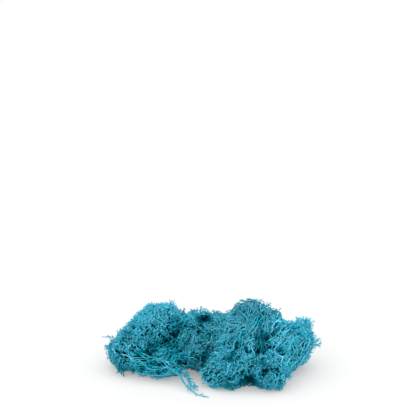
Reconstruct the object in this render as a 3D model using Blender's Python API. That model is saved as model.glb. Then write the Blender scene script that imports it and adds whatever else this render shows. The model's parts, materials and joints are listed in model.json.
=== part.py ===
"""A clump of dyed reindeer moss, lying on a table.

The clump is a heap of rounded heads of the same lichen, hooked into one another. Each head is one
closed body: a small lumpy core and the forked sprigs that stand out of it on every open side. Lengths
here are millimetres, with X to the right, Y away from the viewer and Z up. The finished heap
is centred on the origin and rests at Z = 0.
"""

from collections import namedtuple
from math import tau

import bmesh
import bpy
import numpy as np
from mathutils import Matrix, Vector

MM = 0.001
SEED = 34

# How the heads share the heap
HEAD_GAP = 0.36  # clear space between two neighbouring heads
FLOOR_CLEARANCE = 0.4  # sprigs stay this far above the table; only the cores rest on it
SHELL = 14.5  # depth of the sprigs over a core
ON_TABLE = 1e-4  # a core's corner nearer than this to the table lies on it
COVER_BLEND = 0.2  # how soon a core swells where a neighbour covers it
FLOOR_BLEND = 0.7  # and how soon it swells where it meets the table

# How the sprigs grow: each face of the core is pulled out into a stem that forks in three
CORE_SUBDIVISIONS = 2
CORE_JITTER = 0.13  # unevenness of the core's corners, in radians
STEM_RADIUS = 1.25
BRANCH_RADIUS = 0.95
SECTOR_SHARE = 0.75  # a stem takes up at most this much of its sector's width
HUB_HEIGHT = 0.9
FIRST_FORK, SECOND_FORK = 0.36, 0.68  # heights of the forks, as shares of a sprig
FORK_AGAIN = 0.42  # share of the branches that fork once more; the others end in a point
SHORTEST_SPRIG = 6.0
LEAST_BRANCH = 1.5
REACH_SPREAD = (0.9, 1.1)  # tips over the oval outline of a head
KEEP_TO_MIDDLE = 9  # how closely a tip keeps to the middle of its sector

# How a single long stem grows
TAPER = 0.9
TWIG_LENGTH = 5.2
TWIG_LENGTHS = (0.8, 1.15)  # each point of a twig, as a share of that length
TWIG_THICKNESS = 0.72  # a side twig over its stem
TWIG_SPREAD = 0.52  # 0 sends the branches of a twig straight on, 1 square to its hub's faces
TWIG_LEAN = 0.5  # how far a side twig leans along its stem
TWIG_RISE = Vector((0, 0, 0.4))  # and upwards
TWIG_ROOT = 0.5  # how far behind its stem's middle line it starts

# A head: the centre and half lengths of its oval outline, and how much paler than the dye it is
Head = namedtuple("Head", "centre radii tone")
HEADS = {
    "crest_head": Head((-62, 9, 44.5), (37, 35, 29), 1.10),
    "left_head": Head((-97, 2, 21), (27, 35, 22.5), 0.92),
    "front_left_head": Head((-57, -28, 18), (47, 32, 20), 0.98),
    "valley_head": Head((-17, 21, 30), (35, 36, 30), 0.86),
    "middle_head": Head((-6, -14, 32), (35, 36, 34), 1.00),
    "main_head": Head((50, 15, 42), (41, 40, 34), 1.04),
    "flank_head": Head((32, -20, 31), (33, 32, 31), 1.00),
    "front_middle_head": Head((25, -50, 20), (29, 32, 22), 0.98),
    "front_right_head": Head((61, -52, 17.5), (31, 33, 19), 0.96),
    "right_head": Head((89, -4, 31), (36, 37, 29), 1.02),
    "back_right_head": Head((42, 43, 24), (46, 28, 25), 0.94),
    "back_left_head": Head((-52, 40, 21), (45, 26, 22), 0.94),
}

# Single stems that leave a head: the points that each follows, and its radius at the root
Runner = namedtuple("Runner", "head points radius")
RUNNERS = (
    Runner(
        "front_left_head",
        ((-54, -40, 14), (-43, -50, 14), (-36, -61, 9), (-30, -72, 6), (-24, -79, 5.5)),
        1.5,
    ),
    Runner("front_left_head", ((-40, -40, 12), (-30, -53, 13), (-20, -64, 8)), 1.2),
    Runner("left_head", ((-104, 0, 26), (-113, -3, 32), (-121, -4, 35), (-126, -4, 38)), 1.2),
    Runner("left_head", ((-104, -14, 12), (-107, -26, 9), (-108, -34, 6)), 1.2),
)

DYE = (0.052, 0.262, 0.355)  # linear teal blue of the dyed lichen
ROUGHNESS = 0.85


def clear_scene():
    for thing in list(bpy.data.objects):
        bpy.data.objects.remove(thing)


def depth_in(head, point):
    """How deep a point lies in a head's oval outline: 1 at its centre, 0 on it, negative outside."""
    return 1 - float(np.linalg.norm((point - head.centre) / np.array(head.radii, float)))


def dividing_planes(name):
    """The planes that a head stays behind, one for each other head: a unit normal and a distance.

    Each stands across the line between the two centres and parts it as the heads' sizes along it do.
    """
    head = HEADS[name]
    planes = []
    for other_name, other in HEADS.items():
        if other_name == name:
            continue
        line = np.subtract(other.centre, head.centre).astype(float)
        span = np.linalg.norm(line)
        normal = line / span
        own = 1 / np.linalg.norm(normal / head.radii)
        theirs = 1 / np.linalg.norm(normal / other.radii)
        planes.append((normal, span * own / (own + theirs) - HEAD_GAP / 2))
    return planes


def hold_back(offset, height, planes):
    """Draws a point, given from its head's centre, back until it is behind the planes and above the table."""
    share = 1.0
    for normal, distance in planes:
        share = min(share, distance / max(offset @ normal, distance))
    if offset[2] < -height:
        share = min(share, height / -offset[2])
    return offset * share


def reaches(name, direction, planes):
    """Distances from a head's centre to its core and to its sprigs' tips, in one direction."""
    head = HEADS[name]
    outline = 1 / np.linalg.norm(direction / np.array(head.radii, float))
    wall = hold_back(direction * outline, head.centre[2], planes)
    depths = [depth_in(other, head.centre + wall) for key, other in HEADS.items() if key != name]
    under = -(head.centre[2] + direction[2] * outline)
    cover = min(1, max(max(depths) / COVER_BLEND, under / FLOOR_BLEND, 0))
    tip = np.linalg.norm(hold_back(direction * outline, head.centre[2] - FLOOR_CLEARANCE, planes))
    return np.linalg.norm(wall) - SHELL * (1 - cover), tip


def core_form(name, planes, draw):
    """The core: a ball whose corners are unevenly spread and moved to the core's reach in their direction."""
    form = bmesh.new()
    bmesh.ops.create_icosphere(form, subdivisions=CORE_SUBDIVISIONS, radius=1)
    for corner in form.verts:
        direction = np.array((corner.co + Vector(draw.normal(0, CORE_JITTER, 3))).normalized())
        core, _ = reaches(name, direction, planes)
        place = HEADS[name].centre + direction * core
        place[2] = 0 if place[2] < ON_TABLE else place[2]
        corner.co = Vector(place)
    return form


class Grower:
    """Grows the faces of a head's core into sprigs.

    A branch's sector is the three directions, from the head's centre, that its face looks out between.
    A fork parts its sector in three, so that no two branches of a head can cross.
    """

    def __init__(self, form, name, planes, draw):
        self.form = form
        self.name = name
        self.planes = planes
        self.draw = draw
        self.centre = np.array(HEADS[name].centre, float)

    def place(self, corner, offset):
        """Puts a corner at its offset from the head's centre, or as far out as there is room."""
        height = self.centre[2] - FLOOR_CLEARANCE
        corner.co = Vector(self.centre + hold_back(offset, height, self.planes))

    def reach(self, sector):
        """Distances to the core and to the tips in the middle of a sector."""
        return reaches(self.name, unit(sum(sector)), self.planes)

    def pull_out(self, bud, reach, radius, sector):
        """Pulls a face out to a small triangle at reach, whose corners point to the sector's own."""
        end = bmesh.ops.extrude_discrete_faces(self.form, faces=[bud])["faces"][0]
        middle = unit(sum(sector)) * reach
        for corner, edge in zip(end.verts, sector):
            spread = edge * reach - middle
            self.place(corner, middle + spread * min(SECTOR_SHARE, radius / np.linalg.norm(spread)))
        return end

    def point_out(self, bud, reach, sector):
        """Draws a face out to a point at reach, somewhere near the middle of its sector."""
        weights = self.draw.dirichlet([KEEP_TO_MIDDLE] * 3)
        aim = unit(sum(edge * weight for edge, weight in zip(sector, weights)))
        tip = bmesh.ops.poke(self.form, faces=[bud], center_mode="MEAN")["verts"][0]
        self.place(tip, aim * reach)

    def fork(self, end, reach, sector):
        """Raises a hub on an end face. Returns the three faces round it, each with its part of the sector."""
        middle = unit(sum(sector))
        aims = dict(zip(end.verts, sector))
        hub = bmesh.ops.poke(self.form, faces=[end], center_mode="MEAN")
        peak = hub["verts"][0]
        self.place(peak, middle * (reach + HUB_HEIGHT))
        aims[peak] = middle
        return [(bud, [aims[corner] for corner in bud.verts]) for bud in hub["faces"]]

    def grow(self, face):
        """Pulls one face out into a stem with three branches, unless it has no room for a sprig."""
        corners = [np.array(corner.co) - self.centre for corner in face.verts]
        sector = [unit(corner) for corner in corners]
        highest = max(np.linalg.norm(corner) for corner in corners)
        core, tip = self.reach(sector)
        if tip - core < SHORTEST_SPRIG:
            return
        first = core + (tip - core) * FIRST_FORK
        stem = self.pull_out(face, first, STEM_RADIUS, sector)
        for bud, part in self.fork(stem, first, sector):
            core, tip = self.reach(part)
            tip = tip * self.draw.uniform(*REACH_SPREAD)
            second = core + (tip - core) * SECOND_FORK
            if second - max(first, highest) < LEAST_BRANCH:
                continue
            if self.draw.random() > FORK_AGAIN:
                self.point_out(bud, tip, part)
                continue
            branch = self.pull_out(bud, second, BRANCH_RADIUS, part)
            for twig, share in self.fork(branch, second, part):
                self.point_out(twig, tip, share)


def unit(vector):
    return vector / np.linalg.norm(vector)


def lengthen(form, face, move):
    """Pulls an end face on along move, turns it square to move and narrows it. Returns the new end face."""
    end = bmesh.ops.extrude_discrete_faces(form, faces=[face])["faces"][0]
    end.normal_update()
    turn = end.normal.rotation_difference(move)
    middle = end.calc_center_median()
    for corner in end.verts:
        corner.co = middle + turn @ (corner.co - middle) * TAPER + move
    end.normal_update()
    return end


def end_in_twigs(form, face, heading, length, draw):
    """Ends a stem in three points."""
    hub = bmesh.ops.poke(form, faces=[face], offset=HUB_HEIGHT, center_mode="MEAN")
    for bud in hub["faces"]:
        bud.normal_update()
        aim = heading.lerp(bud.normal, TWIG_SPREAD).normalized()
        middle = bud.calc_center_median()
        tip = bmesh.ops.poke(form, faces=[bud], center_mode="MEAN")["verts"][0]
        tip.co = middle + aim * length * draw.uniform(*TWIG_LENGTHS)


def stem_form(root, heading, radius, length, draw):
    """A three-sided stem. Returns the form and its end face."""
    form = bmesh.new()
    turn = Matrix.Rotation(draw.uniform(0, tau / 3), 4, "Z")
    stand = heading.to_track_quat("Z", "Y").to_matrix().to_4x4() @ turn
    lift = Matrix.Translation((0, 0, length / 2))
    bmesh.ops.create_cone(
        form,
        cap_ends=True,
        segments=3,
        radius1=radius,
        radius2=radius * TAPER,
        depth=length,
        matrix=Matrix.Translation(root) @ stand @ lift,
    )
    form.normal_update()
    end = max(form.faces, key=lambda face: face.normal.dot(heading))
    return form, end


def fits(form, centre, planes):
    """Whether every corner of a form is above the table and clear of the neighbouring heads."""
    places = np.array([corner.co for corner in form.verts])
    out = places - centre
    return places[:, 2].min() > FLOOR_CLEARANCE and all((out @ normal).max() < far for normal, far in planes)


def runner_forms(runner, planes, draw):
    """A long stem through its points, with a forked end and a side twig at each bend."""
    points = [Vector(point) for point in runner.points]
    first = points[1] - points[0]
    form, end = stem_form(points[0], first.normalized(), runner.radius, first.length, draw)
    for stop in points[2:]:
        end = lengthen(form, end, stop - end.calc_center_median())
    end_in_twigs(form, end, (points[-1] - points[-2]).normalized(), TWIG_LENGTH, draw)
    forms = [form]
    for before, bend, after in zip(points, points[1:-1], points[2:]):
        along = (after - before).normalized()
        side = along.cross(Vector(draw.normal(0, 1, 3))).normalized()
        heading = (side + along * TWIG_LEAN + TWIG_RISE).normalized()
        root = bend - heading * TWIG_ROOT
        twig, end = stem_form(root, heading, runner.radius * TWIG_THICKNESS, TWIG_LENGTH, draw)
        end_in_twigs(twig, end, heading, TWIG_LENGTH, draw)
        forms.append(twig)
    return [form for form in forms if fits(form, HEADS[runner.head].centre, planes)]


def object_of(name, form, collection):
    mesh = bpy.data.meshes.new(name)
    form.normal_update()
    form.to_mesh(mesh)
    form.free()
    made = bpy.data.objects.new(name, mesh)
    collection.objects.link(made)
    return made


def keep_largest(mesh):
    """Keeps a mesh's largest connected surface, which fills a sealed hollow and drops a loose scrap."""
    form = bmesh.new()
    form.from_mesh(mesh)
    left, islands = set(form.verts), []
    while left:
        island, ahead = [], [left.pop()]
        while ahead:
            corner = ahead.pop()
            island.append(corner)
            near = {edge.other_vert(corner) for edge in corner.link_edges} & left
            left -= near
            ahead.extend(near)
        islands.append(island)
    islands.sort(key=len)
    loose = [corner for island in islands[:-1] for corner in island]
    bmesh.ops.delete(form, geom=loose, context="VERTS")
    form.to_mesh(mesh)
    form.free()


def fuse(body, repeats):
    """Joins everything in the collection repeats to body, and removes the collection with its objects."""
    union = body.modifiers.new("long stems", "BOOLEAN")
    union.operation = "UNION"
    union.operand_type = "COLLECTION"
    union.collection = repeats
    union.solver = "EXACT"
    graph = bpy.context.evaluated_depsgraph_get()
    joined = bpy.data.meshes.new_from_object(body.evaluated_get(graph))
    body.modifiers.clear()
    keep_largest(joined)
    body.data = joined
    for repeat in list(repeats.objects):
        bpy.data.objects.remove(repeat)
    bpy.data.collections.remove(repeats)


def dyed_lichen(name, tone):
    material = bpy.data.materials.new(f"dyed lichen, {name}")
    material.use_nodes = True
    shader = material.node_tree.nodes["Principled BSDF"]
    shader.inputs["Base Color"].default_value = (*(channel * tone for channel in DYE), 1)
    shader.inputs["Roughness"].default_value = ROUGHNESS
    shader.inputs["Metallic"].default_value = 0
    return material


def head_object(name, number, collection):
    """One head: its core grown into sprigs, with its long stems fused on."""
    draw = np.random.default_rng(SEED + number)
    planes = dividing_planes(name)
    form = core_form(name, planes, draw)
    grower = Grower(form, name, planes, draw)
    for face in list(form.faces):
        grower.grow(face)
    body = object_of(name, form, collection)
    runners = [runner for runner in RUNNERS if runner.head == name]
    if runners:
        repeats = bpy.data.collections.new(f"{name} long stems")
        bpy.context.scene.collection.children.link(repeats)
        for runner in runners:
            for stem in runner_forms(runner, planes, draw):
                object_of("long stem", stem, repeats)
        fuse(body, repeats)
    body.data.materials.clear()
    body.data.materials.append(dyed_lichen(name, HEADS[name].tone))
    return body


def centre_on_origin(bodies):
    """Puts the middle of the heap's outline over the origin and turns millimetres into metres."""
    corners = np.array([corner.co for body in bodies for corner in body.data.vertices])
    middle = (corners.min(axis=0) + corners.max(axis=0)) / 2
    place = Matrix.Scale(MM, 4) @ Matrix.Translation((-middle[0], -middle[1], 0))
    for body in bodies:
        body.data.transform(place)
        body.data.update()


def main():
    clear_scene()
    clump = bpy.data.collections.new("reindeer moss clump")
    bpy.context.scene.collection.children.link(clump)
    bodies = [head_object(name, number, clump) for number, name in enumerate(HEADS)]
    centre_on_origin(bodies)


main()
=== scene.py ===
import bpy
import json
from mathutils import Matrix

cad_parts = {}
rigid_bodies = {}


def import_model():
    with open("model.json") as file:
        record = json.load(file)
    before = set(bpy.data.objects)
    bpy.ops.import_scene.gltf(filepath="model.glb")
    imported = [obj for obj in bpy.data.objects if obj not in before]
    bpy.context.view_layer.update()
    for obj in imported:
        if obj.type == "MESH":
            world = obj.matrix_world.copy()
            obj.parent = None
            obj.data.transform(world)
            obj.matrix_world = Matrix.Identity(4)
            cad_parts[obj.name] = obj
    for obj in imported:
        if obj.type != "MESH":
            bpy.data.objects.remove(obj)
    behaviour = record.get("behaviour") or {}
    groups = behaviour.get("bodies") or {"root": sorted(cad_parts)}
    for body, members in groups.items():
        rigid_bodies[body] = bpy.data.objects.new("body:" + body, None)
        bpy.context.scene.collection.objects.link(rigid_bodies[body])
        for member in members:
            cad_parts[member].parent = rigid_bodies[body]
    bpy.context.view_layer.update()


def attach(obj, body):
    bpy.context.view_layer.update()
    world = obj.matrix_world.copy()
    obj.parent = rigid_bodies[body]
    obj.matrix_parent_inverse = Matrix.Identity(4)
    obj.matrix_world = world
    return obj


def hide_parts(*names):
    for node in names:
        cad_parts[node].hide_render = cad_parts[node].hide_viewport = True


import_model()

import json
from collections import namedtuple
from math import cos, radians, sin, tau

import bpy
import numpy as np
from mathutils import Vector

MM = 0.001
SEED = 7
TINY = 1e-6  # keeps a divisor from being nothing
GOLDEN_TURN = 0.381966  # the golden angle, as a share of a turn
SHAKEN = 0.5  # evenly spread directions are moved at random by this, over the root of their number
SIDES = 3  # strands are three-sided tubes, so one triangle closes an end

# All lengths are in millimetres, measured as the solids were drawn. The middle of the whole heap lies at
# HEAP_MIDDLE in those measures and over the origin in the frame.
HEAP_MIDDLE = np.array([-1.16, -6.0, 0.0])

# What HEADS gives for each head. centre and radii are its oval's middle and half lengths, and tone is how
# light its colour is against the others: partly its dye, and partly painted light, as each head is made
# lighter or darker for the light that reaches it, the low ones at the front lighter for the light that the
# paper throws up on them. spacing is how far apart its sprigs root, sunk how far under the surface they
# end, and ragged how uneven they are. stems is how many long stems lie over them, longest how long these
# get, comb the way that they follow, and wander how far they stray from it.
Head = namedtuple("Head", "centre radii tone spacing sunk ragged stems longest comb wander")


def head(centre, radii, *looks):
    """A row of HEADS with its centre moved into the frame: the centre less the heap's middle."""
    return Head(np.array(centre) - HEAP_MIDDLE, np.array(radii, float), *looks)


HEADS = {
    "crest_head": head((-64, 9, 44.5), (36, 35, 29), 1.2, 5.3, -0.3, 3, 60, 14, (0.1, -0.6, -0.6), 0.6),
    "left_head": head((-97, 2, 21), (27, 35, 22.5), 1.06, 5.8, 0, 3, 50, 20, (0.4, -0.3, -0.5), 0.4),
    "front_left_head": head(
        (-57, -25, 19.5), (47, 28.5, 18.5), 1.09, 6.2, 2, 4, 90, 24, (1.2, -0.1, -0.15), 0.4
    ),
    "valley_head": head((-17, 21, 30), (35, 36, 30), 0.92, 6.5, 0, 4, 40, 20, (0.1, -0.2, 0.4), 0.4),
    "middle_head": head((-6, -14, 32), (35, 36, 34), 0.90, 6.2, 1.5, 4, 90, 18, (-0.3, -0.6, -0.7), 0.5),
    "main_head": head((50, 15, 42), (41, 40, 34), 0.86, 6.6, 3.5, 4, 230, 28, (-0.4, -0.8, -1.0), 0.25),
    "flank_head": head((32, -20, 31), (33, 32, 31), 0.94, 6.5, 3.5, 3, 220, 28, (-0.6, -0.5, -0.8), 0.25),
    "front_middle_head": head(
        (25, -54, 17.5), (29, 31, 22), 1.08, 5.6, 1, 3.5, 110, 16, (-0.7, -0.5, -0.7), 0.4
    ),
    "front_right_head": head(
        (61, -55, 16.5), (31, 33, 19.5), 1.13, 5.7, 1, 4, 120, 16, (-0.5, -0.5, -0.8), 0.4
    ),
    "right_head": head((86, -4, 30), (34, 37, 28), 1.22, 6.2, 2, 5, 250, 34, (0.6, -0.1, 0.9), 0.2),
    "back_right_head": head((42, 43, 24), (46, 28, 25), 0.98, 6.4, 1, 4, 120, 20, (0.3, 0.5, 0.2), 0.4),
    "back_left_head": head((-52, 40, 21), (45, 26, 22), 0.98, 6.4, 1, 4, 120, 20, (-0.3, 0.5, 0.2), 0.4),
}

# How the heads run together
BLEND = 5.0  # the higher, the sharper the creases between them
INSET = 0.09  # the surface lies this share inside the heads, so that tips end on their outline
WEAVE = 5.0  # sprigs reach this far past the plane between two heads
HIDDEN_DEPTH = 12.0  # a wall between heads is wholly covered this far under the heap's surface
SEARCH = np.linspace(0.5, 2.0, 30)  # where a head's surface is looked for, as shares of its oval's size

# Lumps on the heap: the length of their waves, and the share of a head's size by which they move the
# surface
LUMPS = ((40, 0.03), (22, 0.04), (13, 0.038))
LUMP_WAVES = 6  # the waves that make up one kind of lump

# What holds strands to their head
SLACK = 0.06  # they may pass the heap's surface by this share before they are pressed back
RAGGED_SIZE = 70.0  # and by a further share, which is what their head is ragged over this length
PAST_SURFACE = 0.67  # how much is left of what passes the surface and the slack
PAST_WALL = 0.5  # how much is left of what passes the wall between two heads
FLOOR = 0.7  # strands that meet the table lie at this height
PAST_FLOOR = 0.06  # and this much higher for each millimetre that they would pass it by

# Painted shade: a stem's colour is made darker the deeper it lies under the heap's surface and in the
# hollows, where light does not reach
PAINTED_SHADE_DEPTH = 0.17  # this share under the surface and deeper, they are at their darkest
DEPTH_PAINTED_DARKENING = 0.8  # the share of its growth that a stem's colour loses at that depth
HOLLOW_PAINTED_DARKENING = 0.6  # the share of its growth that it loses in full shade

# Hollows, each with its centre and radius. The next number is the share of a head's size by which it pushes
# the surface in, and the last is painted shade: the share by which the colour of the stems near it is
# darkened for the light that does not reach into it. Where the push is nothing it is only painted shade,
# and where it is under nothing it is a swelling.
HOLLOWS = (
    ((-35, 18, 62), 9, 0.50, 0.4),
    ((-41, -2, 50), 8, 0.60, 0.5),
    ((-48, -18, 47), 7, 0.45, 0.5),
    ((-56, -18, 39), 7, 0.55, 0.5),
    ((-65, -27, 32), 7, 0.55, 0.5),
    ((-73, -34, 26), 7, 0.55, 0.4),
    ((-44, -14, 57), 7, 0.00, 0.7),
    ((-47, -15, 49), 7, 0.00, 0.7),
    ((-52, -15, 42), 7, 0.00, 0.7),
    ((-61, -21, 37), 6, 0.00, 0.7),
    ((-34, -38, 28), 8, 0.25, 0.2),
    ((-46, -34, 34), 15, 0.12, 0.3),
    ((-28, -50, 5), 13, 0.70, 0.3),
    ((-24, -30, 2), 13, 0.45, 0.3),
    ((-70, -46, 23), 6, 0.25, 0.4),
    ((-82, -42, 16), 6, 0.20, 0.4),
    ((-60, -50, 16), 6, 0.20, 0.4),
    ((-8, -12, 66), 8.5, 0.90, 0.95),
    ((-8, 6, 59), 10, 0.20, 0.8),
    ((-8, 14, 58), 7, 0.00, 0.9),
    ((-7, -46, 30), 7, 0.30, 0.4),
    ((56, -50, 33), 9, 0.40, 0.4),
    ((54, -42, 33), 9, 0.35, 0.4),
    ((58, -38, 47), 6, 0.25, 0.4),
    ((25, -57, 38), 6, 0.15, 0.4),
    ((43, -82, 2), 12, 0.90, 0.6),
    ((40, -75, 13), 8, 0.50, 0.6),
    ((42, -66, 9), 8, 0.55, 0.85),
    ((40, -70, 18), 7, 0.00, 0.6),
    ((95, -60, 6), 13, 0.45, 0.2),
    ((92, 16, 56), 14, 0.40, 0.2),
    ((20, 12, 70), 11, 0.18, 0.0),
    ((60, 15, 80), 13, 0.16, 0.0),
    ((-108, -28, 4), 11, 0.30, 0.4),
    ((55, -13, 64), 4.5, 0.00, 0.6),
    ((52, -24, 61), 4.5, 0.00, 0.6),
    ((49, -39, 48), 4.5, 0.00, 0.6),
    ((61, -32, 49), 5.5, 0.00, 0.6),
    ((29, -51, 49), 4.5, 0.00, 0.6),
    ((20, -70, 35), 4.5, 0.00, 0.6),
    ((25, -35, 55), 4.0, 0.00, 0.6),
    ((77, -52, 40), 4.5, 0.00, 0.6),
    ((57, -74, 30), 4.5, 0.00, 0.6),
    ((35, -46, 54), 4.0, 0.00, 0.6),
    ((18, -80, 9), 8, 0.00, 0.3),
    ((78, 12, 68), 9, -0.12, 0.0),
    ((42, 14, 78), 11, -0.06, 0.0),
    ((-47, 6, 72), 12, -0.16, 0.0),
    ((-58, -20, 56), 12, -0.18, 0.0),
    ((-72, -10, 62), 16, -0.10, 0.0),
    ((28, -48, 41), 15, -0.32, 0.0),
    ((44, -42, 42), 13, -0.20, 0.0),
    ((76, -44, 33), 15, -0.26, 0.0),
    ((-6, -62, 9), 13, -0.42, 0.0),
)

# How a sprig grows. Each row is one generation of branches; the last are the pointed tips. A branch has a
# length, a radius at its start and at its end, a number of points and of children, and the spread of
# these in degrees. Its growth runs from 0 in the oldest wood to 1 at a tip.
Growth = namedtuple("Growth", "length start end points children spread growth")
GENERATIONS = (
    Growth(7.4, 0.90, 0.78, 3, 3, 28, (0.00, 0.30)),
    Growth(6.2, 0.74, 0.62, 3, 3, 36, (0.30, 0.55)),
    Growth(4.6, 0.58, 0.46, 2, 4, 52, (0.55, 0.75)),
    Growth(3.0, 0.40, 0.00, 2, 0, 0, (0.75, 1.00)),
)
TWIG = 2  # the generation that side twigs and the ends of stems begin with
BRANCH_LENGTHS = (0.7, 1.25)  # a branch's length lies between these shares of its generation's
THICKNESSES = (0.85, 1.15)  # and its radius between these
LEANS = (0.7, 1.25)  # and its angle at the fork between these
TURN_JITTER = 0.25  # how unevenly branches stand round a fork, in radians
KEEPS_WAY, GIVES_WAY = 0.9, 0.6  # how much a branch holds on to its heading, and how much it bends
COMBED, UNRULY = 0.45, 0.3  # how far it bends with the comb, and how far at random

# Where sprigs stand on a head
THINNED = 0.6  # the share of them that is missing in a hollow
SPRIG_COVER = 0.8  # they root where the head is covered less than this
SPRIG_HEIGHT = 0.78  # a sprig's height, as a share of its generations' lengths added up
SPRIG_LEAN = 0.22  # how far sprigs lean at random
UNEVEN = (-0.6, 0.5)  # by how much of the head's ragged a sprig ends lower or higher

# The long stems that lie along a head
STEM_COVER = 0.5  # they lie where the head is covered less than this
STEM_POINTS = 10
STEM_RADII = (0.62, 0.46)
STEM_LENGTHS = (0.4, 1.0)  # as shares of the head's longest
STEM_SWAYS = (0.4, 0.9)  # the waves along one
SWAY = 0.06  # their height, in radians as seen from the head's centre
STEM_RISE = 2.5  # a stem starts this far under the head's limit and ends as far over it
STEM_DEPTH = 1.5  # one stem lies up to this much deeper or shallower than another
STEM_ROUGH = 0.4  # how far its points are off at random
TWIG_AHEAD = 0.6  # how far a side twig points along its stem
TWIG_SIZES = (0.6, 0.95)  # the size of side twigs against those of a sprig


def unit(vectors):
    """Vectors of length 1: each divided by its own length."""
    return vectors / np.maximum(np.linalg.norm(vectors, axis=-1, keepdims=True), TINY)


def outline(shape, directions):
    """Distance from a head's centre to its oval: one over the length of the direction, once that
    is divided, axis by axis, by the oval's half lengths."""
    return 1 / np.linalg.norm(directions / shape.radii, axis=-1)


def lumps(points):
    """Uneven ground for the heap: for each kind of lump, cosine waves whose crests are its length apart
    and run in random directions, added up, scaled to its height and divided by their usual sum."""
    draw = np.random.default_rng(SEED)
    total = 0
    for length, height in LUMPS:
        waves = unit(draw.normal(size=(LUMP_WAVES, 3))) * tau / length
        phases = draw.uniform(0, tau, LUMP_WAVES)
        swell = np.cos(points @ waves.T + phases).sum(axis=-1)
        total = total + height * swell / np.sqrt(LUMP_WAVES / 2)
    return total


def hollows(points):
    """Each hollow's push and its painted shade, the share of light that it takes from the colour, and how
    near the points are to it: exp(-(distance / radius) squared)."""
    for centre, radius, push, dark in HOLLOWS:
        away = np.sum((points - np.array(centre) + HEAP_MIDDLE) ** 2, axis=-1)
        yield push, dark, np.exp(-away / radius**2)


def in_hollow(points):
    """How deep in a hollow points are, from 0 to 1: how near they are to the hollows that push the
    surface in, added up."""
    return np.minimum(sum(near * (push > 0) for push, _, near in hollows(points)), 1)


def painted_shade_of(points):
    """How much painted shade the hollows give points: one less the light that all hollows leave,
    multiplied. Each leaves one less the share that it takes times how near it is."""
    light = 1
    for _, dark, near in hollows(points):
        light = light * (1 - dark * near)
    return 1 - light


def heap(points):
    """The heap's form: under 1 inside it, 1 on its surface and more outside. Each head gives the
    distance from its centre over its half lengths; these run together as minus the logarithm of the
    sum of exp(-BLEND distance), over BLEND. Lumps, the inset and the hollows' pushes are added on."""
    level = 0
    for shape in HEADS.values():
        level = level + np.exp(-BLEND * np.linalg.norm((points - shape.centre) / shape.radii, axis=-1))
    pushed = sum(push * near for push, _, near in hollows(points))
    return -np.log(level) / BLEND + lumps(points) + INSET + pushed


def surface(name, directions):
    """Distance from a head's centre to the heap's surface: the first of the steps in SEARCH at which
    the heap's form has passed 1, moved back in proportion to how far it has passed it."""
    shape = HEADS[name]
    along = outline(shape, directions)[..., None] * SEARCH
    level = heap(shape.centre + directions[..., None, :] * along[..., None])
    outside = level > 1
    outside[..., -1] = True
    step = np.maximum(np.argmax(outside, axis=-1), 1)[..., None]
    below, above = (np.take_along_axis(level, step - back, axis=-1)[..., 0] for back in (1, 0))
    near, far = (np.take_along_axis(along, step - back, axis=-1)[..., 0] for back in (1, 0))
    return near + (far - near) * np.clip((1 - below) / np.maximum(above - below, TINY), 0, 1)


def walls(name, directions, weave):
    """Distance from a head's centre to the planes that part it from its neighbours, moved out by
    weave, or to the table. A plane stands across the line between two centres and parts it as the
    heads' sizes along it do. A direction meets it at its distance over the direction's part across
    it."""
    shape = HEADS[name]
    reach = shape.centre[2] / np.maximum(-directions[..., 2], TINY)
    for other_name, other in HEADS.items():
        if other_name == name:
            continue
        line = other.centre - shape.centre
        span = np.linalg.norm(line)
        normal = line / span
        own = outline(shape, normal)
        plane = span * own / (own + outline(other, -normal)) + weave
        reach = np.minimum(reach, plane / np.maximum(directions @ normal, TINY))
    return reach


def limit(name, directions, weave):
    """How far a head reaches: to the heap's surface or to its walls, whichever comes first."""
    return np.minimum(surface(name, directions), walls(name, directions, weave))


def covered(name, directions):
    """How covered a head is by others: the depth of its walls under the heap's surface over
    HIDDEN_DEPTH, from 0 where it is open to 1."""
    under = surface(name, directions) - walls(name, directions, 0)
    return np.clip(under / HIDDEN_DEPTH, 0, 1)


def spread_directions(count, draw):
    """Directions spread evenly over a ball: heights in equal steps from pole to pole, each turned on
    from the last by GOLDEN_TURN, and then shaken by a part of the space between them."""
    height = 1 - (2 * np.arange(count) + 1) / count
    turn = np.arange(count) * tau * GOLDEN_TURN
    ring = np.sqrt(1 - height**2)
    even = np.stack([ring * np.cos(turn), ring * np.sin(turn), height], axis=1)
    return unit(even + draw.normal(0, SHAKEN / np.sqrt(count), even.shape))


def keep_in(strands, points):
    """Presses points back to their head, on the line to its centre. What passes the heap's surface and
    the slack is cut to PAST_SURFACE of itself and what passes a wall to PAST_WALL. What passes the
    table lies at FLOOR, PAST_FLOOR higher for each millimetre. Loose strands only meet the table."""
    kept = points
    if not strands.loose:
        shape = HEADS[strands.name]
        offset = points - shape.centre
        far = np.linalg.norm(offset, axis=-1, keepdims=True)
        level = heap(points)[..., None]
        room = 1 + SLACK + shape.ragged / RAGGED_SIZE
        scale = np.where(level > room, (room + (level - room) * PAST_SURFACE) / level, 1)
        wall = walls(strands.name, offset / far, WEAVE)[..., None] / far
        scale = np.where(scale > wall, wall + (scale - wall) * PAST_WALL, scale)
        kept = shape.centre + offset * scale
    height = kept[..., 2]
    kept[..., 2] = np.where(height < FLOOR, FLOOR + (FLOOR - height) * PAST_FLOOR, height)
    return kept


def square_to(headings, draw):
    """Two unit vectors square to each heading and to each other: its cross product with a random
    vector, and its cross product with that."""
    side = unit(np.cross(headings, unit(draw.normal(size=headings.shape))))
    return side, np.cross(headings, side)


def bent(starts, headings, ends, lengths, count):
    """Paths that set out along headings and end up going along ends: the start, plus the length
    times (heading t + (end - heading) t squared / 2), for count values of t from 0 to 1."""
    t = np.linspace(0, 1, count)[None, :, None]
    way = headings[:, None, :] * t + (ends - headings)[:, None, :] * t**2 / 2
    return starts[:, None, :] + way * lengths[:, None, None]


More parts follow.
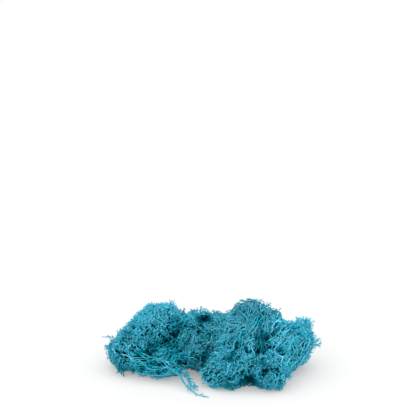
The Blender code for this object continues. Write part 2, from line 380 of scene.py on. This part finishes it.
def tapered(count, start, end, points, draw):
    """Radii that go evenly from start to end along each of count paths, times a random thickness for
    each path."""
    scale = draw.uniform(*THICKNESSES, (count, 1))
    return scale * np.linspace(start, end, points)[None, :]


class Strands:
    """Collects tubes: paths of points in millimetres, their radii, and each point's growth and dye."""

    def __init__(self, name, draw):
        """Starts empty, for the head of that name, with the random draws that it is made from. Strands
        are pressed back to their head unless loose is set."""
        self.name = name
        self.draw = draw
        self.loose = False
        self.corners, self.growth, self.dye, self.faces = [], [], [], []
        self.used = 0

    def add(self, paths, radii, growth):
        """Three-sided tubes along many paths at once. A ring's corner is the path's point plus the
        radius times (cos(turn) side + sin(turn) up), with side and up square to the path there."""
        count, points, _ = paths.shape
        heading = unit(np.gradient(paths, axis=1))
        side, _ = square_to(heading[:, 0], self.draw)
        side = unit(side[:, None, :] - heading * np.sum(side[:, None, :] * heading, axis=-1, keepdims=True))
        up = np.cross(heading, side)
        turn = (tau / SIDES * np.arange(SIDES))[None, None, :, None]
        around = np.cos(turn) * side[:, :, None, :] + np.sin(turn) * up[:, :, None, :]
        self.corners.append((paths[:, :, None, :] + radii[:, :, None, None] * around).reshape(-1, 3))
        corner = np.arange(count * points * SIDES).reshape(count, points, SIDES) + self.used
        lower, upper = corner[:, :-1], corner[:, 1:]
        beside, above = np.roll(lower, -1, axis=2), np.roll(upper, -1, axis=2)
        self.faces.append(np.stack([lower, beside, above], axis=-1).reshape(-1, 3))
        self.faces.append(np.stack([lower, above, upper], axis=-1).reshape(-1, 3))
        self.faces.append(corner[:, 0, ::-1])
        self.faces.append(corner[:, -1, :])
        steps = np.linspace(growth[0], growth[1], points)
        self.growth.append(np.broadcast_to(steps[None, :, None], (count, points, SIDES)).ravel())
        self.dye.append(np.repeat(self.draw.uniform(0, 1, count), points * SIDES))
        self.used += count * points * SIDES

    def add_tips(self, paths, radii, growth):
        """Pointed three-sided tips: a ring of corners round each path's first point, at the radius
        times (cos(turn) side + sin(turn) up), and one corner at its last point."""
        count = len(paths)
        side, up = square_to(unit(paths[:, -1] - paths[:, 0]), self.draw)
        turn = (tau / SIDES * np.arange(SIDES))[None, :, None]
        around = np.cos(turn) * side[:, None, :] + np.sin(turn) * up[:, None, :]
        ring = paths[:, :1] + radii[:, :1, None] * around
        self.corners.append(np.concatenate([ring, paths[:, -1:]], axis=1).reshape(-1, 3))
        corner = np.arange(count * (SIDES + 1)).reshape(count, SIDES + 1) + self.used
        base, point = corner[:, :SIDES], corner[:, SIDES:]
        sides = np.stack([base, np.roll(base, -1, axis=1), np.broadcast_to(point, base.shape)], axis=-1)
        self.faces += [sides.reshape(-1, 3), base[:, ::-1]]
        self.growth.append(np.tile([growth[0]] * SIDES + [growth[1]], count))
        self.dye.append(np.repeat(self.draw.uniform(0, 1, count), SIDES + 1))
        self.used += count * (SIDES + 1)


def fork(paths, children, spread, draw):
    """Where and which way the branches at the ends of paths set out: along cos(lean) heading +
    sin(lean) (cos(turn) side + sin(turn) up). The heading is the path's last one, the lean about
    spread degrees, and the turns are even round it, each with a little jitter."""
    heading = unit(paths[:, -1] - paths[:, -2])
    side, up = square_to(heading, draw)
    turn = tau * np.arange(children) / children + draw.normal(0, TURN_JITTER, (len(paths), children))
    lean = np.radians(spread * draw.uniform(*LEANS, (len(paths), children)))[..., None]
    round_it = np.cos(turn)[..., None] * side[:, None, :] + np.sin(turn)[..., None] * up[:, None, :]
    headings = np.cos(lean) * heading[:, None, :] + np.sin(lean) * round_it
    starts = np.broadcast_to(paths[:, -1][:, None, :], headings.shape)
    return starts.reshape(-1, 3), headings.reshape(-1, 3)


def pull(name, points, draw):
    """Which way branches bend as they grow: the unit vector of outwards from the head's oval, plus
    COMBED times its comb, plus a random part."""
    shape = HEADS[name]
    outwards = unit((points - shape.centre) / shape.radii)
    return unit(outwards + np.array(shape.comb) * COMBED + draw.normal(0, UNRULY, points.shape))


def grow(strands, starts, headings, first, stretch):
    """Branches from the generation first on, each forking into the next, their lengths times stretch.
    A branch bends from its heading to the unit vector of KEEPS_WAY heading + GIVES_WAY pull."""
    draw = strands.draw
    for stage in GENERATIONS[first:]:
        lengths = stage.length * stretch * draw.uniform(*BRANCH_LENGTHS, len(starts))
        ends = unit(headings * KEEPS_WAY + pull(strands.name, starts, draw) * GIVES_WAY)
        paths = keep_in(strands, bent(starts, headings, ends, lengths, stage.points))
        radii = tapered(len(starts), stage.start, stage.end, stage.points, draw)
        if not stage.children:
            strands.add_tips(paths, radii, stage.growth)
            return
        strands.add(paths, radii, stage.growth)
        starts, headings = fork(paths, stage.children, stage.spread, draw)
        stretch = np.repeat(stretch, stage.children)


def sprigs(strands):
    """The sprigs that stand out of a head's core on all its open sides. They are as many as a ball of
    the head's size has room for, one on each square of its spacing. Each roots a sprig's height under
    the head's limit, and is stretched to end sunk under it, give or take some of its raggedness."""
    name, draw = strands.name, strands.draw
    shape = HEADS[name]
    area = 2 * tau * (np.prod(shape.radii) ** (2 / 3))
    directions = spread_directions(int(area / shape.spacing**2), draw)
    directions = directions[covered(name, directions) < SPRIG_COVER]
    far = limit(name, directions, WEAVE)
    thinned = THINNED * in_hollow(shape.centre + directions * far[:, None])
    kept = draw.random(len(far)) > thinned
    directions, far = directions[kept], far[kept]
    height = sum(stage.length for stage in GENERATIONS) * SPRIG_HEIGHT
    reach = height - shape.sunk + draw.uniform(*UNEVEN, len(far)) * shape.ragged
    starts = shape.centre + directions * (far - height)[:, None]
    headings = unit(directions + draw.normal(0, SPRIG_LEAN, directions.shape))
    grow(strands, starts, headings, 0, reach / height)


def long_stems(strands):
    """Stems that lie along a head's surface under its comb. A stem's direction from the head's centre
    is its middle one plus t length along the comb plus a sideways sine wave, for t from -0.5 to 0.5.
    Its distance is the head's limit less a depth that falls evenly from end to end."""
    name, draw = strands.name, strands.draw
    shape = HEADS[name]
    directions = spread_directions(shape.stems * 4, draw)
    directions = directions[covered(name, directions) < STEM_COVER]
    directions = directions[draw.permutation(len(directions))[: shape.stems]]
    count = len(directions)
    along = unit(np.array(shape.comb))[None, :] + draw.normal(0, shape.wander, (count, 3))
    along = unit(along - directions * np.sum(along * directions, axis=1, keepdims=True))
    length = shape.longest * draw.uniform(*STEM_LENGTHS, count) / np.mean(shape.radii)
    t = np.linspace(-0.5, 0.5, STEM_POINTS)[None, :, None]
    side = np.cross(along, directions)
    sways = draw.uniform(*STEM_SWAYS, (count, 1, 1))
    sway = np.sin(t * tau * sways + draw.uniform(0, tau, (count, 1, 1)))
    way = directions[:, None, :] + along[:, None, :] * t * length[:, None, None]
    way = unit(way + side[:, None, :] * sway * SWAY)
    depth = np.linspace(STEM_RISE, -STEM_RISE, STEM_POINTS)[None, :]
    depth = depth + draw.uniform(-STEM_DEPTH, STEM_DEPTH, (count, 1))
    far = limit(name, way, WEAVE) - depth
    rough = draw.normal(0, STEM_ROUGH, way.shape)
    paths = keep_in(strands, shape.centre + way * far[..., None] + rough)
    strands.add(paths, tapered(count, *STEM_RADII, STEM_POINTS, draw), growth=(0.9, 1.0))
    ends = unit(paths[:, -1] - paths[:, -2])
    twigs(strands, paths, range(2, STEM_POINTS - 1), share=0.3, outwards=0.7)
    grow(strands, paths[:, -1], ends, TWIG, stretch=np.full(count, 0.9))


def twigs(strands, paths, stops, share, outwards):
    """Side twigs that leave paths at a share of the stops. Each sets out along the unit vector of one
    square to the path, plus TWIG_AHEAD times the path's heading, plus outwards times its pull."""
    draw = strands.draw
    heading = unit(np.gradient(paths, axis=1))[:, stops].reshape(-1, 3)
    starts = paths[:, stops].reshape(-1, 3)
    kept = draw.random(len(starts)) < share
    starts, heading = starts[kept], heading[kept]
    side, _ = square_to(heading, draw)
    headings = unit(side + heading * TWIG_AHEAD + pull(strands.name, starts, draw) * outwards)
    grow(strands, starts, headings, TWIG, draw.uniform(*TWIG_SIZES, len(starts)))


def smooth_path(points, count):
    """A path through points: Catmull-Rom stretches, whose heading at each point is half the step
    from the point before it to the point after it. A stretch is b + t (c - a) / 2 + t squared
    (a - 2.5 b + 2 c - d / 2) + t cubed (1.5 (b - c) + (d - a) / 2), with a to d the four points
    round it."""
    points = np.array(points, float) - HEAP_MIDDLE
    ends = np.vstack([2 * points[0] - points[1], points, 2 * points[-1] - points[-2]])
    place = np.linspace(0, len(points) - 1, count)
    stretch = np.minimum(place.astype(int), len(points) - 2)
    t = (place - stretch)[:, None]
    a, b, c, d = (ends[stretch + step] for step in range(4))
    square = a - 2.5 * b + 2 * c - d / 2
    cube = 1.5 * (b - c) + (d - a) / 2
    return b + t * (c - a) / 2 + t**2 * square + t**3 * cube


# Where the stems of the skirt come together and the one that hangs over the front begins
FRONT_ROOT = (-42, -55, 17)

# Single stems that stand out in the photograph: the head that each grows from, its radii at both ends,
# how many stems lie side by side, how far they lie apart, what share of their stops bears a side twig,
# and the points that they follow
Runner = namedtuple("Runner", "head radii stems apart twigs points")
RUNNERS = (
    Runner("front_left_head", (1.1, 0.6), 1, 0, 0.6, (
        FRONT_ROOT, (-37, -62, 13), (-32, -71, 9), (-27, -80, 4.5), (-20, -87, 2.5), (-9, -94, 1.2),
    )),
    Runner("front_left_head", (0.6, 0.42), 3, 2.2, 0.8, (
        (-36, -50, 18), (-30, -58, 14), (-25, -66, 10), (-22, -73, 6), (-16, -81, 4),
    )),
    Runner("front_left_head", (0.52, 0.65), 1, 0, 0.3, (
        (-99, -34, 19), (-89, -45, 19.5), (-75, -50, 20), (-65, -52, 21), (-55, -55, 20), (-50, -56, 18),
        FRONT_ROOT,
    )),
    Runner("front_left_head", (0.52, 0.52), 1, 0, 0.3, (
        (-91, -44, 24), (-76, -50, 26), (-69, -49, 27), (-64, -51, 28), (-57, -54, 26), (-48, -56, 20),
        (-38, -58, 14),
    )),
    Runner("front_left_head", (0.52, 0.6), 1, 0, 0.3, (
        (-95, -38, 15), (-82, -45, 13), (-74, -49, 13), (-67, -51, 14), (-59, -54, 14.5), (-52, -56, 13),
        FRONT_ROOT,
    )),
    Runner("front_left_head", (0.5, 0.6), 1, 0, 0.3, (
        (-90, -40, 10), (-78, -45, 8), (-67, -48, 8), (-56, -51, 9), (-46, -54, 12),
    )),
    Runner("front_left_head", (0.5, 0.55), 1, 0, 0.3, (
        (-86, -44, 26), (-79, -49, 22), (-70, -52, 17), (-60, -54, 17), (-50, -55, 22),
    )),
    Runner("front_left_head", (0.55, 0.48), 1, 0, 0.4, (
        (-111, -14, 36), (-108, -24, 32), (-102, -29, 31), (-97, -33, 27), (-91, -44, 24), (-87, -47, 20),
    )),
    Runner("front_left_head", (0.6, 0.5), 1, 0, 0.4, (
        (-103, -20, 38), (-98, -30, 32), (-94, -38, 26), (-88, -44, 23), (-80, -48, 22),
    )),
    Runner("front_left_head", (0.55, 0.48), 2, 1.5, 0.4, (
        (-98, -22, 37), (-91, -28, 35), (-85, -38, 31), (-76, -42, 27), (-68, -46, 26),
    )),
    Runner("front_left_head", (0.6, 0.45), 5, 3.0, 0.7, (
        (-47, -52, 22), (-42, -47, 27), (-37, -43, 28), (-32, -42, 28), (-27, -42, 33),
    )),
    Runner("left_head", (0.7, 0.45), 1, 0, 0.8, (
        (-100, 0, 30), (-108, -3, 34), (-113, -4, 36), (-119, -4, 38), (-125, -4, 40),
    )),
    Runner("left_head", (0.55, 0.4), 1, 0, 0.4, (
        (-104, -4, 27), (-113, -6, 29), (-118, -6, 32), (-121, -5, 35),
    )),
    Runner("left_head", (0.7, 0.45), 3, 1.5, 0.9, (
        (-102, -14, 14), (-107, -24, 10), (-107, -30, 5),
    )),
    Runner("middle_head", (0.55, 0.42), 5, 2.2, 0.35, (
        (-33, -18, 60), (-28, -20, 68), (-19, -20, 73.5), (-9, -20, 75), (0, -20, 73), (6, -22, 67),
        (9, -25, 60),
    )),
    Runner("valley_head", (0.6, 0.45), 4, 3.0, 0.7, (
        (-55, -17, 40), (-48, -17, 50), (-41, -16, 60), (-35, -13, 68),
    )),
    Runner("valley_head", (0.6, 0.45), 4, 3.0, 0.7, (
        (-65, -31, 31), (-55, -30, 34), (-46, -22, 38), (-37, -23, 45),
    )),
    Runner("valley_head", (0.6, 0.45), 5, 3.5, 0.7, (
        (-56, -52, 28), (-48, -42, 35), (-38, -33, 39), (-34, -29, 48),
    )),
    Runner("flank_head", (0.8, 0.65), 1, 0, 0.6, (
        (14, -7, 69), (16, -16, 68), (18.5, -34, 62), (19, -45, 55), (17, -53, 49),
    )),
    Runner("flank_head", (0.75, 0.6), 2, 1.5, 0.5, (
        (53, -14, 66), (47, -26, 62), (41, -38, 56), (38, -43, 51), (33, -48, 45),
    )),
    Runner("flank_head", (0.6, 0.45), 3, 2.2, 0.35, (
        (35, -42, 59), (30, -51, 56), (26, -53, 51), (21, -61, 45), (17, -63, 40),
    )),
    Runner("main_head", (0.8, 0.7), 2, 1.2, 0.4, (
        (31, 2, 71), (39, -14, 69), (44, -21, 63), (40, -31, 60), (36, -40, 55), (31, -45, 48),
    )),
    Runner("main_head", (0.6, 0.45), 3, 2.6, 0.35, (
        (55, -9, 66), (50, -25, 64), (46, -33, 60), (41, -46, 57), (38, -53, 53),
    )),
    Runner("main_head", (0.6, 0.45), 2, 2.4, 0.35, (
        (61, -8, 67), (56, -18, 64), (52, -29, 61), (48, -38, 56), (45, -46, 52),
    )),
    Runner("main_head", (0.6, 0.45), 2, 2.4, 0.35, (
        (68, -10, 64), (64, -25, 61), (60, -33, 57), (56, -34, 49),
    )),
    Runner("right_head", (0.7, 0.5), 3, 3.0, 0.6, (
        (97, -35, 45), (91, -41, 41), (87, -47, 35), (83, -55, 28), (78, -62, 22),
    )),
    Runner("right_head", (0.7, 0.5), 2, 2.0, 0.6, (
        (80, -38, 46), (74, -48, 39), (71, -59, 35),
    )),
    Runner("right_head", (0.6, 0.45), 2, 2.4, 0.35, (
        (95, -37, 42), (91, -46, 38), (87, -50, 33), (83, -61, 31), (80, -72, 28),
    )),
    Runner("right_head", (0.6, 0.45), 2, 2.4, 0.35, (
        (102, -31, 42), (97, -42, 38), (93, -45, 31), (89, -48, 24),
    )),
    Runner("front_right_head", (0.7, 0.5), 3, 3.0, 0.6, (
        (94, -44, 28), (83, -68, 27), (74, -80, 21),
    )),
)
STOPS = 4  # stops on a stem for each point that it follows
FOOT_SPREAD, END_SPREAD = 0.8, 1.0  # how far a bundle's stems part at their foot, and more at their ends
WAVE, WAVE_APART = 0.6, 0.4  # how high a stem waves, and how much higher for each millimetre apart
WAVES = (1.0, 2.4)  # the waves along one
BARE_FOOT = 5  # one part in this many of a stem bears no side twigs, from its foot on

# Open sprigs that stand free of the heap: their head, where they root, which way they go, how far
# their roots are spread, their number and their size against a common sprig
Fan = namedtuple("Fan", "head root way spread number size")
FANS = (
    Fan("right_head", (98, -8, 45), (0.35, -0.1, 0.9), 5, 10, 1.15),
    Fan("right_head", (101, -8, 40), (0.9, -0.1, 0.5), 5, 12, 0.95),
    Fan("right_head", (103, -8, 31), (1.0, -0.2, 0.3), 5, 8, 0.65),
    Fan("right_head", (99, -10, 42), (0.8, -0.2, 0.75), 4, 12, 1.2),
    Fan("left_head", (-105, 0, 22), (-0.9, -0.2, 0.4), 6, 5, 0.75),
    Fan("left_head", (-103, -20, 20), (-0.3, -0.9, 0.2), 4, 9, 0.75),
    Fan("left_head", (-96, -18, 14), (-0.1, -0.5, -0.6), 3, 5, 0.6),
    Fan("crest_head", (-50, 7, 61), (0.15, -0.1, 1.0), 8, 7, 0.8),
    Fan("crest_head", (-75, -14, 28), (0.0, -0.9, 0.0), 4, 6, 0.75),
    Fan("middle_head", (8, -2, 52), (0.1, -0.1, 1.0), 5, 4, 0.85),
    Fan("main_head", (48, 10, 58), (0.0, -0.1, 1.0), 9, 6, 0.9),
    Fan("front_right_head", (70, -66, 10), (0.5, -0.8, -0.2), 5, 5, 0.6),
    Fan("front_right_head", (73, -68, 20), (0.0, -0.8, 0.5), 5, 8, 0.7),
)
FAN_INSIDE = 0.9  # they root where the heap's form is under this
FAN_TRIES = 4  # so many places are tried for each
FAN_LEAN = 0.35  # how far they lean at random
FAN_SIZES = (0.8, 1.1)  # one's size against the others


def fans(strands):
    """The open sprigs of a head. Their roots lie at random round the fan's, inside the heap, and each
    sets out along the unit vector of the fan's way plus a random part."""
    draw = strands.draw
    strands.loose = True
    for fan in (each for each in FANS if each.head == strands.name):
        scatter = draw.normal(0, fan.spread, (fan.number * FAN_TRIES, 3))
        starts = np.array(fan.root) - HEAP_MIDDLE + scatter
        starts = starts[heap(starts) < FAN_INSIDE][: fan.number]
        headings = unit(unit(np.array(fan.way)) + draw.normal(0, FAN_LEAN, starts.shape))
        grow(strands, starts, headings, 0, fan.size * draw.uniform(*FAN_SIZES, len(starts)))
    strands.loose = False


def runners(strands):
    """The single stems of a head, each a bundle of stems with side twigs. A stem is the runner's smooth
    path, plus a random step aside that grows with t from foot to end, plus a sine wave along t."""
    draw = strands.draw
    strands.loose = True
    for runner in (each for each in RUNNERS if each.head == strands.name):
        points = STOPS * len(runner.points)
        middle = smooth_path(runner.points, points)
        bundle = (runner.stems, 1, 3)
        t = np.linspace(0, 1, points)[None, :, None]
        foot = draw.normal(0, FOOT_SPREAD, bundle)
        apart = runner.apart * (foot + draw.normal(0, END_SPREAD, bundle) * t)
        wave = draw.normal(0, WAVE + WAVE_APART * runner.apart, bundle)
        wave = wave * np.sin(tau * t * draw.uniform(*WAVES, (runner.stems, 1, 1)))
        paths = middle[None] + apart + wave
        paths[..., 2] = np.maximum(paths[..., 2], FLOOR)
        strands.add(paths, tapered(runner.stems, *runner.radii, points, draw), growth=(0.75, 0.9))
        twigs(strands, paths, range(points // BARE_FOOT, points - 1), runner.twigs, outwards=0.2)
        ends = unit(paths[:, -1] - paths[:, -2])
        grow(strands, paths[:, -1], ends, TWIG, stretch=np.full(runner.stems, 0.8))
    strands.loose = False


# The core of a head: a dark shell under its sprigs, painted shade for the inside of the heap, where light
# does not reach
CORE_TURNS, CORE_FALLS = 40, 20
CORE_DEPTH = 13.5  # it lies this far under the head's limit where the head is open
KNOB = 1.2  # the height of its knobs
KNOB_WAVES = (17, 15, 16)  # how close they lie, for directions along X, Y and Z
KNOB_PHASES = (1, 2, 0)
CORE_LEAST = 3.0  # it reaches at least this far from the head's centre
CORE_FLOOR = 0.4  # its underside lies at this height


def next_turn(row):
    """The corners that lie one turn on from those in row, round the ball."""
    return np.roll(row, -1, axis=-1)


def core(strands):
    """Painted shade for the inside of a head: a dark shell at the ramp's darkest colour, on the ball
    (sin(fall) cos(turn), sin(fall) sin(turn), cos(fall)) on a grid of turns and falls, each direction moved
    out to the head's limit less CORE_DEPTH, with knobs that are the product of three sine waves."""
    name = strands.name
    shape = HEADS[name]
    turn = tau * np.arange(CORE_TURNS) / CORE_TURNS
    fall = np.pi * (np.arange(1, CORE_FALLS)) / CORE_FALLS
    rings = CORE_FALLS - 1
    ball = np.stack(
        [
            np.sin(fall)[:, None] * np.cos(turn)[None, :],
            np.sin(fall)[:, None] * np.sin(turn)[None, :],
            np.broadcast_to(np.cos(fall)[:, None], (rings, CORE_TURNS)),
        ],
        axis=-1,
    ).reshape(-1, 3)
    ball = np.vstack([ball, [[0, 0, 1], [0, 0, -1]]])
    knobs = np.prod(np.sin(ball * KNOB_WAVES + KNOB_PHASES), axis=1)
    depth = CORE_DEPTH - knobs * KNOB
    far = limit(name, ball, 0) - depth * (1 - covered(name, ball))
    points = shape.centre + ball * np.maximum(far, CORE_LEAST)[:, None]
    points[:, 2] = np.maximum(points[:, 2], CORE_FLOOR)
    first = strands.used
    grid = np.arange(rings * CORE_TURNS).reshape(rings, CORE_TURNS) + first
    upper, lower = grid[:-1], grid[1:]
    top = np.full(CORE_TURNS, first + len(ball) - 2)
    bottom = np.full(CORE_TURNS, first + len(ball) - 1)
    strands.faces.append(np.stack([upper, lower, next_turn(lower)], axis=-1).reshape(-1, 3))
    strands.faces.append(np.stack([upper, next_turn(lower), next_turn(upper)], axis=-1).reshape(-1, 3))
    strands.faces.append(np.stack([top, grid[0], next_turn(grid[0])], axis=-1))
    strands.faces.append(np.stack([bottom, next_turn(grid[-1]), grid[-1]], axis=-1))
    strands.corners.append(points)
    # Growth 0: the ramp's darkest colour, painted shade
    strands.growth.append(np.zeros(len(ball)))
    strands.dye.append(np.full(len(ball), 0.5))
    strands.used += len(ball)


def head_piece(name, number, material):
    """One head of the heap, as one mesh: its core, sprigs, long stems, open sprigs and single stems. A
    corner's growth is that of its branch, darkened by painted shade: times one less a share of its depth
    under the heap's surface, and one less a share of the hollows' painted shade there. Its tone is the
    head's times one less that painted shade of the hollows."""
    strands = Strands(name, np.random.default_rng(SEED + number))
    core(strands)
    sprigs(strands)
    long_stems(strands)
    fans(strands)
    runners(strands)
    mesh = bpy.data.meshes.new(f"{name} lichen")
    corners = np.concatenate(strands.corners)
    mesh.from_pydata(corners * MM, [], np.concatenate(strands.faces))
    mesh.shade_smooth()
    # Painted shade: corners deep under the surface and in hollows are given darker growth and tone
    depth = np.clip((1 - heap(corners)) / PAINTED_SHADE_DEPTH, 0, 1)
    shade = painted_shade_of(corners)
    values = {
        "growth": np.concatenate(strands.growth) * (1 - DEPTH_PAINTED_DARKENING * depth) * (1 - HOLLOW_PAINTED_DARKENING * shade),
        "dye": np.concatenate(strands.dye),
        "tone": HEADS[name].tone * (1 - shade),
    }
    for label, numbers in values.items():
        mesh.attributes.new(label, "FLOAT", "POINT").data.foreach_set("value", numbers)
    mesh.materials.append(material)
    piece = bpy.data.objects.new(f"{name}_lichen", mesh)
    bpy.context.scene.collection.objects.link(piece)
    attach(piece, "root")
    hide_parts(name)


def linear(code):
    """An sRGB hex colour as linear light: each channel's power curve, with its straight foot."""
    channels = [int(code[at : at + 2], 16) / 255 for at in (1, 3, 5)]
    return (*(c / 12.92 if c <= 0.04045 else ((c + 0.055) / 1.055) ** 2.4 for c in channels), 1)


def add(tree, kind, links=(), **settings):
    """Adds a node, sets its properties, and links or sets its inputs."""
    node = tree.nodes.new(kind)
    for key, value in settings.items():
        setattr(node, key, value)
    for socket, value in dict(links).items():
        if isinstance(value, bpy.types.NodeSocket):
            tree.links.new(value, node.inputs[socket])
        else:
            node.inputs[socket].default_value = value
    return node


# The dye, from the oldest wood to the tips. The paler tips are the lichen's own; the near-black end is
# painted shade for the wood deep in the heap and for the core.
DYE_AND_PAINTED_SHADE_STOPS = ((0.0, "#013436"), (0.4, "#026879"), (0.72, "#1099b1"), (1.0, "#66b7cb"))
PATCH_SIZE = 18.0  # it took unevenly, in patches of about a thumb's width
PATCH_TONES = (0.8, 1.2)
STRAND_TONES = (0.78, 1.2)  # and from strand to strand

# The felt on the stems. Its threads are about 0.01 mm thick, too fine to show, so it is drawn in knots
# as coarse as they need to be to show. It scatters nearly all of the light that a smooth stem would throw
# back, which leaves next to no gloss.
FELT_SIZE = 0.8
FELT_HEIGHT = 0.2
FELT_RELIEF = 0.35
FELT_ROUGHNESS = 0.8
FELT_GLOSS = 0.02


def dyed_lichen_with_painted_shade():
    """Reindeer lichen, preserved in glycerine and dyed right through. Its stems are felted, so they
    are matt. Its young tips stay paler, and the old wood inside is darkened with painted shade for the
    light that does not reach it. Colour is the ramp's at a stem's growth, times its patch's, its strand's
    and its head's tone. Growth and tone both carry painted shade, and a head's tone painted light as well."""
    material = bpy.data.materials.new("dyed reindeer lichen")
    material.use_nodes = True
    tree = material.node_tree
    shader = tree.nodes["Principled BSDF"]
    growth = add(tree, "ShaderNodeAttribute", attribute_name="growth").outputs["Fac"]
    dye = add(tree, "ShaderNodeAttribute", attribute_name="dye").outputs["Fac"]
    tone = add(tree, "ShaderNodeAttribute", attribute_name="tone").outputs["Fac"]
    place = add(tree, "ShaderNodeTexCoord").outputs["Object"]

    ramp = add(tree, "ShaderNodeValToRGB", {"Fac": growth})
    while len(ramp.color_ramp.elements) < len(DYE_AND_PAINTED_SHADE_STOPS):
        ramp.color_ramp.elements.new(0.5)
    for element, (at, code) in zip(ramp.color_ramp.elements, DYE_AND_PAINTED_SHADE_STOPS):
        element.position = at
        element.color = linear(code)

    noise = {"Vector": place, "Scale": 1 / (PATCH_SIZE * MM), "Detail": 2.0}
    patches = add(tree, "ShaderNodeTexNoise", noise).outputs["Fac"]
    spread = {"Value": patches, "To Min": PATCH_TONES[0], "To Max": PATCH_TONES[1]}
    patch = add(tree, "ShaderNodeMapRange", spread).outputs["Result"]
    spread = {"Value": dye, "To Min": STRAND_TONES[0], "To Max": STRAND_TONES[1]}
    strand = add(tree, "ShaderNodeMapRange", spread).outputs["Result"]
    both = add(tree, "ShaderNodeMath", {0: patch, 1: strand}, operation="MULTIPLY").outputs[0]
    whole = add(tree, "ShaderNodeMath", {0: both, 1: tone}, operation="MULTIPLY").outputs[0]
    colour = {0: ramp.outputs["Color"], "Scale": whole}
    dyed = add(tree, "ShaderNodeVectorMath", colour, operation="SCALE").outputs["Vector"]
    tree.links.new(dyed, shader.inputs["Base Color"])

    noise = {"Vector": place, "Scale": 1 / (FELT_SIZE * MM), "Detail": 3.0}
    felt = add(tree, "ShaderNodeTexNoise", noise).outputs["Fac"]
    relief = {"Height": felt, "Strength": FELT_RELIEF, "Distance": FELT_HEIGHT * MM}
    bump = add(tree, "ShaderNodeBump", relief)
    tree.links.new(bump.outputs["Normal"], shader.inputs["Normal"])
    shader.inputs["Roughness"].default_value = FELT_ROUGHNESS
    shader.inputs["Specular IOR Level"].default_value = FELT_GLOSS
    return material


# The photograph's frame is FRAME_PIXELS square, one of which is PIXEL wide at the heap. The lens is
# long, the floor under the middle that the heads are measured from lies at FLOOR_POINT in it, and the
# camera looks down on that by LOOK_DOWN degrees.
FRAME_PIXELS = 416
PIXEL = 1.2
LENS, SENSOR = 85, 36
LOOK_DOWN = 20
FLOOR_POINT = (212, 367.5)


def add_camera():
    """The camera stands where a pixel is PIXEL wide at the floor point: the focal length in pixels
    times PIXEL, over the cosine of the angle from the lens's axis to that point. It is tilted down by
    LOOK_DOWN less that angle."""
    focal = LENS / SENSOR * FRAME_PIXELS
    right = FLOOR_POINT[0] - FRAME_PIXELS / 2
    below = FLOOR_POINT[1] - FRAME_PIXELS / 2
    off_axis = np.arctan(below / focal)
    distance = focal * PIXEL / np.cos(off_axis) * MM
    down = radians(LOOK_DOWN)
    data = bpy.data.cameras.new("camera")
    data.lens = LENS
    data.sensor_width = SENSOR
    camera = bpy.data.objects.new("camera", data)
    back = Vector((-right * PIXEL * MM, -distance * cos(down), distance * sin(down)))
    camera.location = back - Vector(HEAP_MIDDLE * MM)
    camera.rotation_euler = (np.pi / 2 - (down - off_axis), 0, 0)
    bpy.context.scene.collection.objects.link(camera)
    bpy.context.scene.camera = camera


FLOOR_HALF = 30.0
PAPER_GLOW = 0.28


def add_floor():
    """Matt white paper under the heap: a square of FLOOR_HALF metres each way. It glows faintly, which
    keeps it white and the shadows on it soft."""
    mesh = bpy.data.meshes.new("floor")
    corners = [(x * FLOOR_HALF, y * FLOOR_HALF, 0) for x, y in ((-1, -1), (1, -1), (1, 1), (-1, 1))]
    mesh.from_pydata(corners, [], [(0, 1, 2, 3)])
    floor = bpy.data.objects.new("floor", mesh)
    material = bpy.data.materials.new("matt white paper")
    material.use_nodes = True
    shader = material.node_tree.nodes["Principled BSDF"]
    shader.inputs["Base Color"].default_value = linear("#a2a2a2")
    shader.inputs["Emission Color"].default_value = linear("#ffffff")
    shader.inputs["Emission Strength"].default_value = PAPER_GLOW
    shader.inputs["Roughness"].default_value = 0.9
    mesh.materials.append(material)
    bpy.context.scene.collection.objects.link(floor)


def add_sun(name, strength, spread, towards):
    """A distant light of strength watts a square metre, spread degrees wide, which shines the way that
    towards points."""
    data = bpy.data.lights.new(name, "SUN")
    data.energy = strength
    data.angle = radians(spread)
    light = bpy.data.objects.new(name, data)
    light.rotation_mode = "QUATERNION"
    light.rotation_quaternion = Vector(towards).to_track_quat("-Z", "Y")
    bpy.context.scene.collection.objects.link(light)


def add_lights():
    """White surroundings and two wide lights: one from above, a little to the front, and a weaker one
    from the front, lower down."""
    world = bpy.data.worlds.new("studio")
    bpy.context.scene.world = world
    world.use_nodes = True
    background = world.node_tree.nodes["Background"]
    background.inputs["Color"].default_value = (1, 1, 1, 1)
    background.inputs["Strength"].default_value = 1.0
    add_sun("soft overhead light", strength=2.5, spread=120, towards=(0.0, 0.4, -1.0))
    add_sun("front fill", strength=1.6, spread=60, towards=(0.1, 1.0, -0.55))


lichen = dyed_lichen_with_painted_shade()
for number, name in enumerate(HEADS):
    head_piece(name, number, lichen)
add_camera()
add_floor()
add_lights()
bpy.context.scene.view_settings.view_transform = "Standard"
